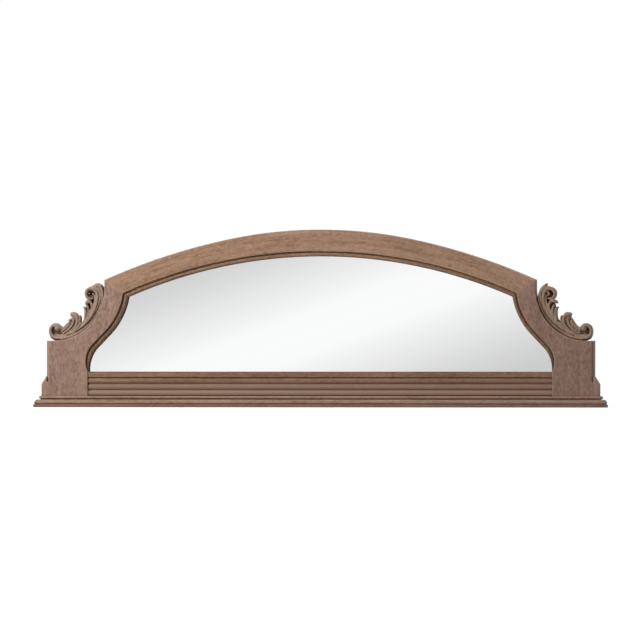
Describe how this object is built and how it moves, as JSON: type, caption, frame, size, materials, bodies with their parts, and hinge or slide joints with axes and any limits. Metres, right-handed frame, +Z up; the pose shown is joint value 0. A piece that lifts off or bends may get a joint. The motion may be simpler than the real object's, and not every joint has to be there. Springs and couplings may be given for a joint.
{
  "type": "overmantel mirror",
  "caption": "Low arched overmantel mirror in limed oak, with a reeded bottom rail, a moulded base and carved acanthus scrolls in its coved shoulders.",
  "frame": {"origin": "middle of the base's underside, at the centre of the depth", "axes": "+X to the right seen from the front, +Y to the back (towards the wall), +Z up"},
  "size_m": [1.75, 0.061, 0.5334],
  "materials": {
    "frame_oak": "limed oak, open grain",
    "moulding_oak": "limed oak",
    "base_oak": "limed oak, worn edges",
    "carved_oak": "limed carved oak",
    "back_wood": "raw sawn boards",
    "softwood": "raw",
    "card": "grey-brown card",
    "silvered_glass": "polished",
    "steel": "plain"
  },
  "bodies": {
    "root": {"top_rail": "frame_oak", "bottom_rail": "frame_oak", "sight_moulding_top": "moulding_oak", "base_board": "base_oak", "base_moulding_front": "base_oak", "base_screws": "steel", "mirror_glass": "silvered_glass", "backing_card": "card", "glass_blocks": "softwood", "back_board_middle": "back_wood", "back_board_screws": "steel", "hanging_plate_screws": "steel", "left_post": "frame_oak", "left_mitre_tongue": "softwood", "sight_moulding_left": "moulding_oak", "base_moulding_left": "base_oak", "back_board_left": "back_wood", "hanging_plate_left": "steel", "left_carving": "carved_oak", "left_carving_dowels": "softwood", "right_post": "frame_oak", "right_mitre_tongue": "softwood", "sight_moulding_right": "moulding_oak", "base_moulding_right": "base_oak", "back_board_right": "back_wood", "hanging_plate_right": "steel", "right_carving": "carved_oak", "right_carving_dowels": "softwood"}
  },
  "joints": []
}
